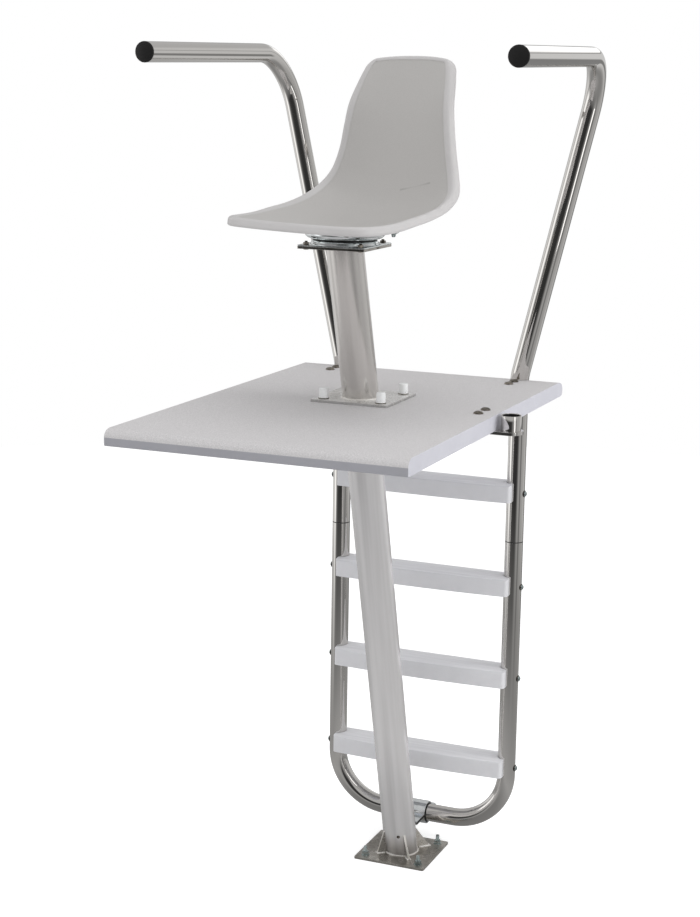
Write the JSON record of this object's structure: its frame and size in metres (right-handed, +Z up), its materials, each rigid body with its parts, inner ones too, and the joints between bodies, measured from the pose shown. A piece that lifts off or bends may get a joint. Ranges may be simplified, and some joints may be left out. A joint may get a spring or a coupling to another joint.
{
  "type": "lifeguard chair",
  "caption": "Raised pool lifeguard chair with a swivelling bucket seat on a leaning post, standing board, tube ladder, handrails and umbrella bracket.",
  "frame": {"origin": "centre of the square base plate's underside, on the pool deck", "axes": "+Z up; -Y the way the chair faces over the water, so the ladder is at +Y; +X the side of the umbrella bracket, on the sitter's left"},
  "size_m": [0.9504, 1.149, 2.1507],
  "materials": {
    "polished_stainless": "polished stainless steel tube",
    "satin_stainless": "satin stainless steel",
    "zinc_plate": "zinc-plated pressed steel",
    "plain_fastener": "plain fastener, slightly dulled",
    "board_plastic": "light grey board with a gritty non-slip top",
    "tread_plastic": "light grey moulded tread",
    "seat_plastic": "mid grey moulded shell, faintly textured",
    "white_plastic": "white push-on caps",
    "black_rubber": "black rubber and dark plastic rings"
  },
  "bodies": {
    "frame": {"base_plate": "satin_stainless", "deck_anchor_1": "plain_fastener", "deck_anchor_2": "plain_fastener", "deck_anchor_3": "plain_fastener", "deck_anchor_4": "plain_fastener", "lower_post": "satin_stainless", "platform_support_plate": "satin_stainless", "platform": "board_plastic", "seat_post_flange": "satin_stainless", "seat_post": "satin_stainless", "flange_bolt_1": "plain_fastener", "flange_bolt_2": "plain_fastener", "flange_bolt_3": "plain_fastener", "flange_bolt_4": "plain_fastener", "nut_cap_1": "white_plastic", "nut_cap_2": "white_plastic", "nut_cap_3": "white_plastic", "nut_cap_4": "white_plastic", "swivel_mount_plate": "satin_stainless", "swivel_lower_race": "zinc_plate", "swivel_bearing_ring": "black_rubber", "swivel_bolt_1": "plain_fastener", "swivel_bolt_2": "plain_fastener", "swivel_bolt_3": "plain_fastener", "swivel_bolt_4": "plain_fastener", "ladder_frame": "polished_stainless", "handrail_left": "polished_stainless", "handrail_right": "polished_stainless", "grip_cap_left": "black_rubber", "grip_cap_right": "black_rubber", "handrail_bolt_left_1": "plain_fastener", "handrail_bolt_left_2": "plain_fastener", "handrail_bolt_right_1": "plain_fastener", "handrail_bolt_right_2": "plain_fastener", "tread_bolt_left_1": "plain_fastener", "tread_bolt_left_2": "plain_fastener", "tread_bolt_left_3": "plain_fastener", "tread_bolt_left_4": "plain_fastener", "tread_bolt_right_1": "plain_fastener", "tread_bolt_right_2": "plain_fastener", "tread_bolt_right_3": "plain_fastener", "tread_bolt_right_4": "plain_fastener", "tread_1": "tread_plastic", "tread_2": "tread_plastic", "tread_3": "tread_plastic", "tread_4": "tread_plastic", "ladder_clamp_upper": "zinc_plate", "ladder_clamp_lower": "zinc_plate", "ladder_clamp_liner": "black_rubber", "ladder_clamp_bolt_1": "plain_fastener", "ladder_clamp_bolt_2": "plain_fastener", "umbrella_bracket": "polished_stainless", "umbrella_bolt_1": "plain_fastener", "umbrella_bolt_2": "plain_fastener"},
    "seat": {"swivel_upper_plate": "zinc_plate", "seat_shell": "seat_plastic", "seat_bolt_1": "plain_fastener", "seat_bolt_2": "plain_fastener", "seat_bolt_3": "plain_fastener", "seat_bolt_4": "plain_fastener"}
  },
  "joints": [
    {"name": "seat_swivel", "type": "hinge", "parent": "frame", "child": "seat", "pos_m": [0, -0.4592, 1.703], "axis": [0, 0, 1], "continuous": true}
  ]
}
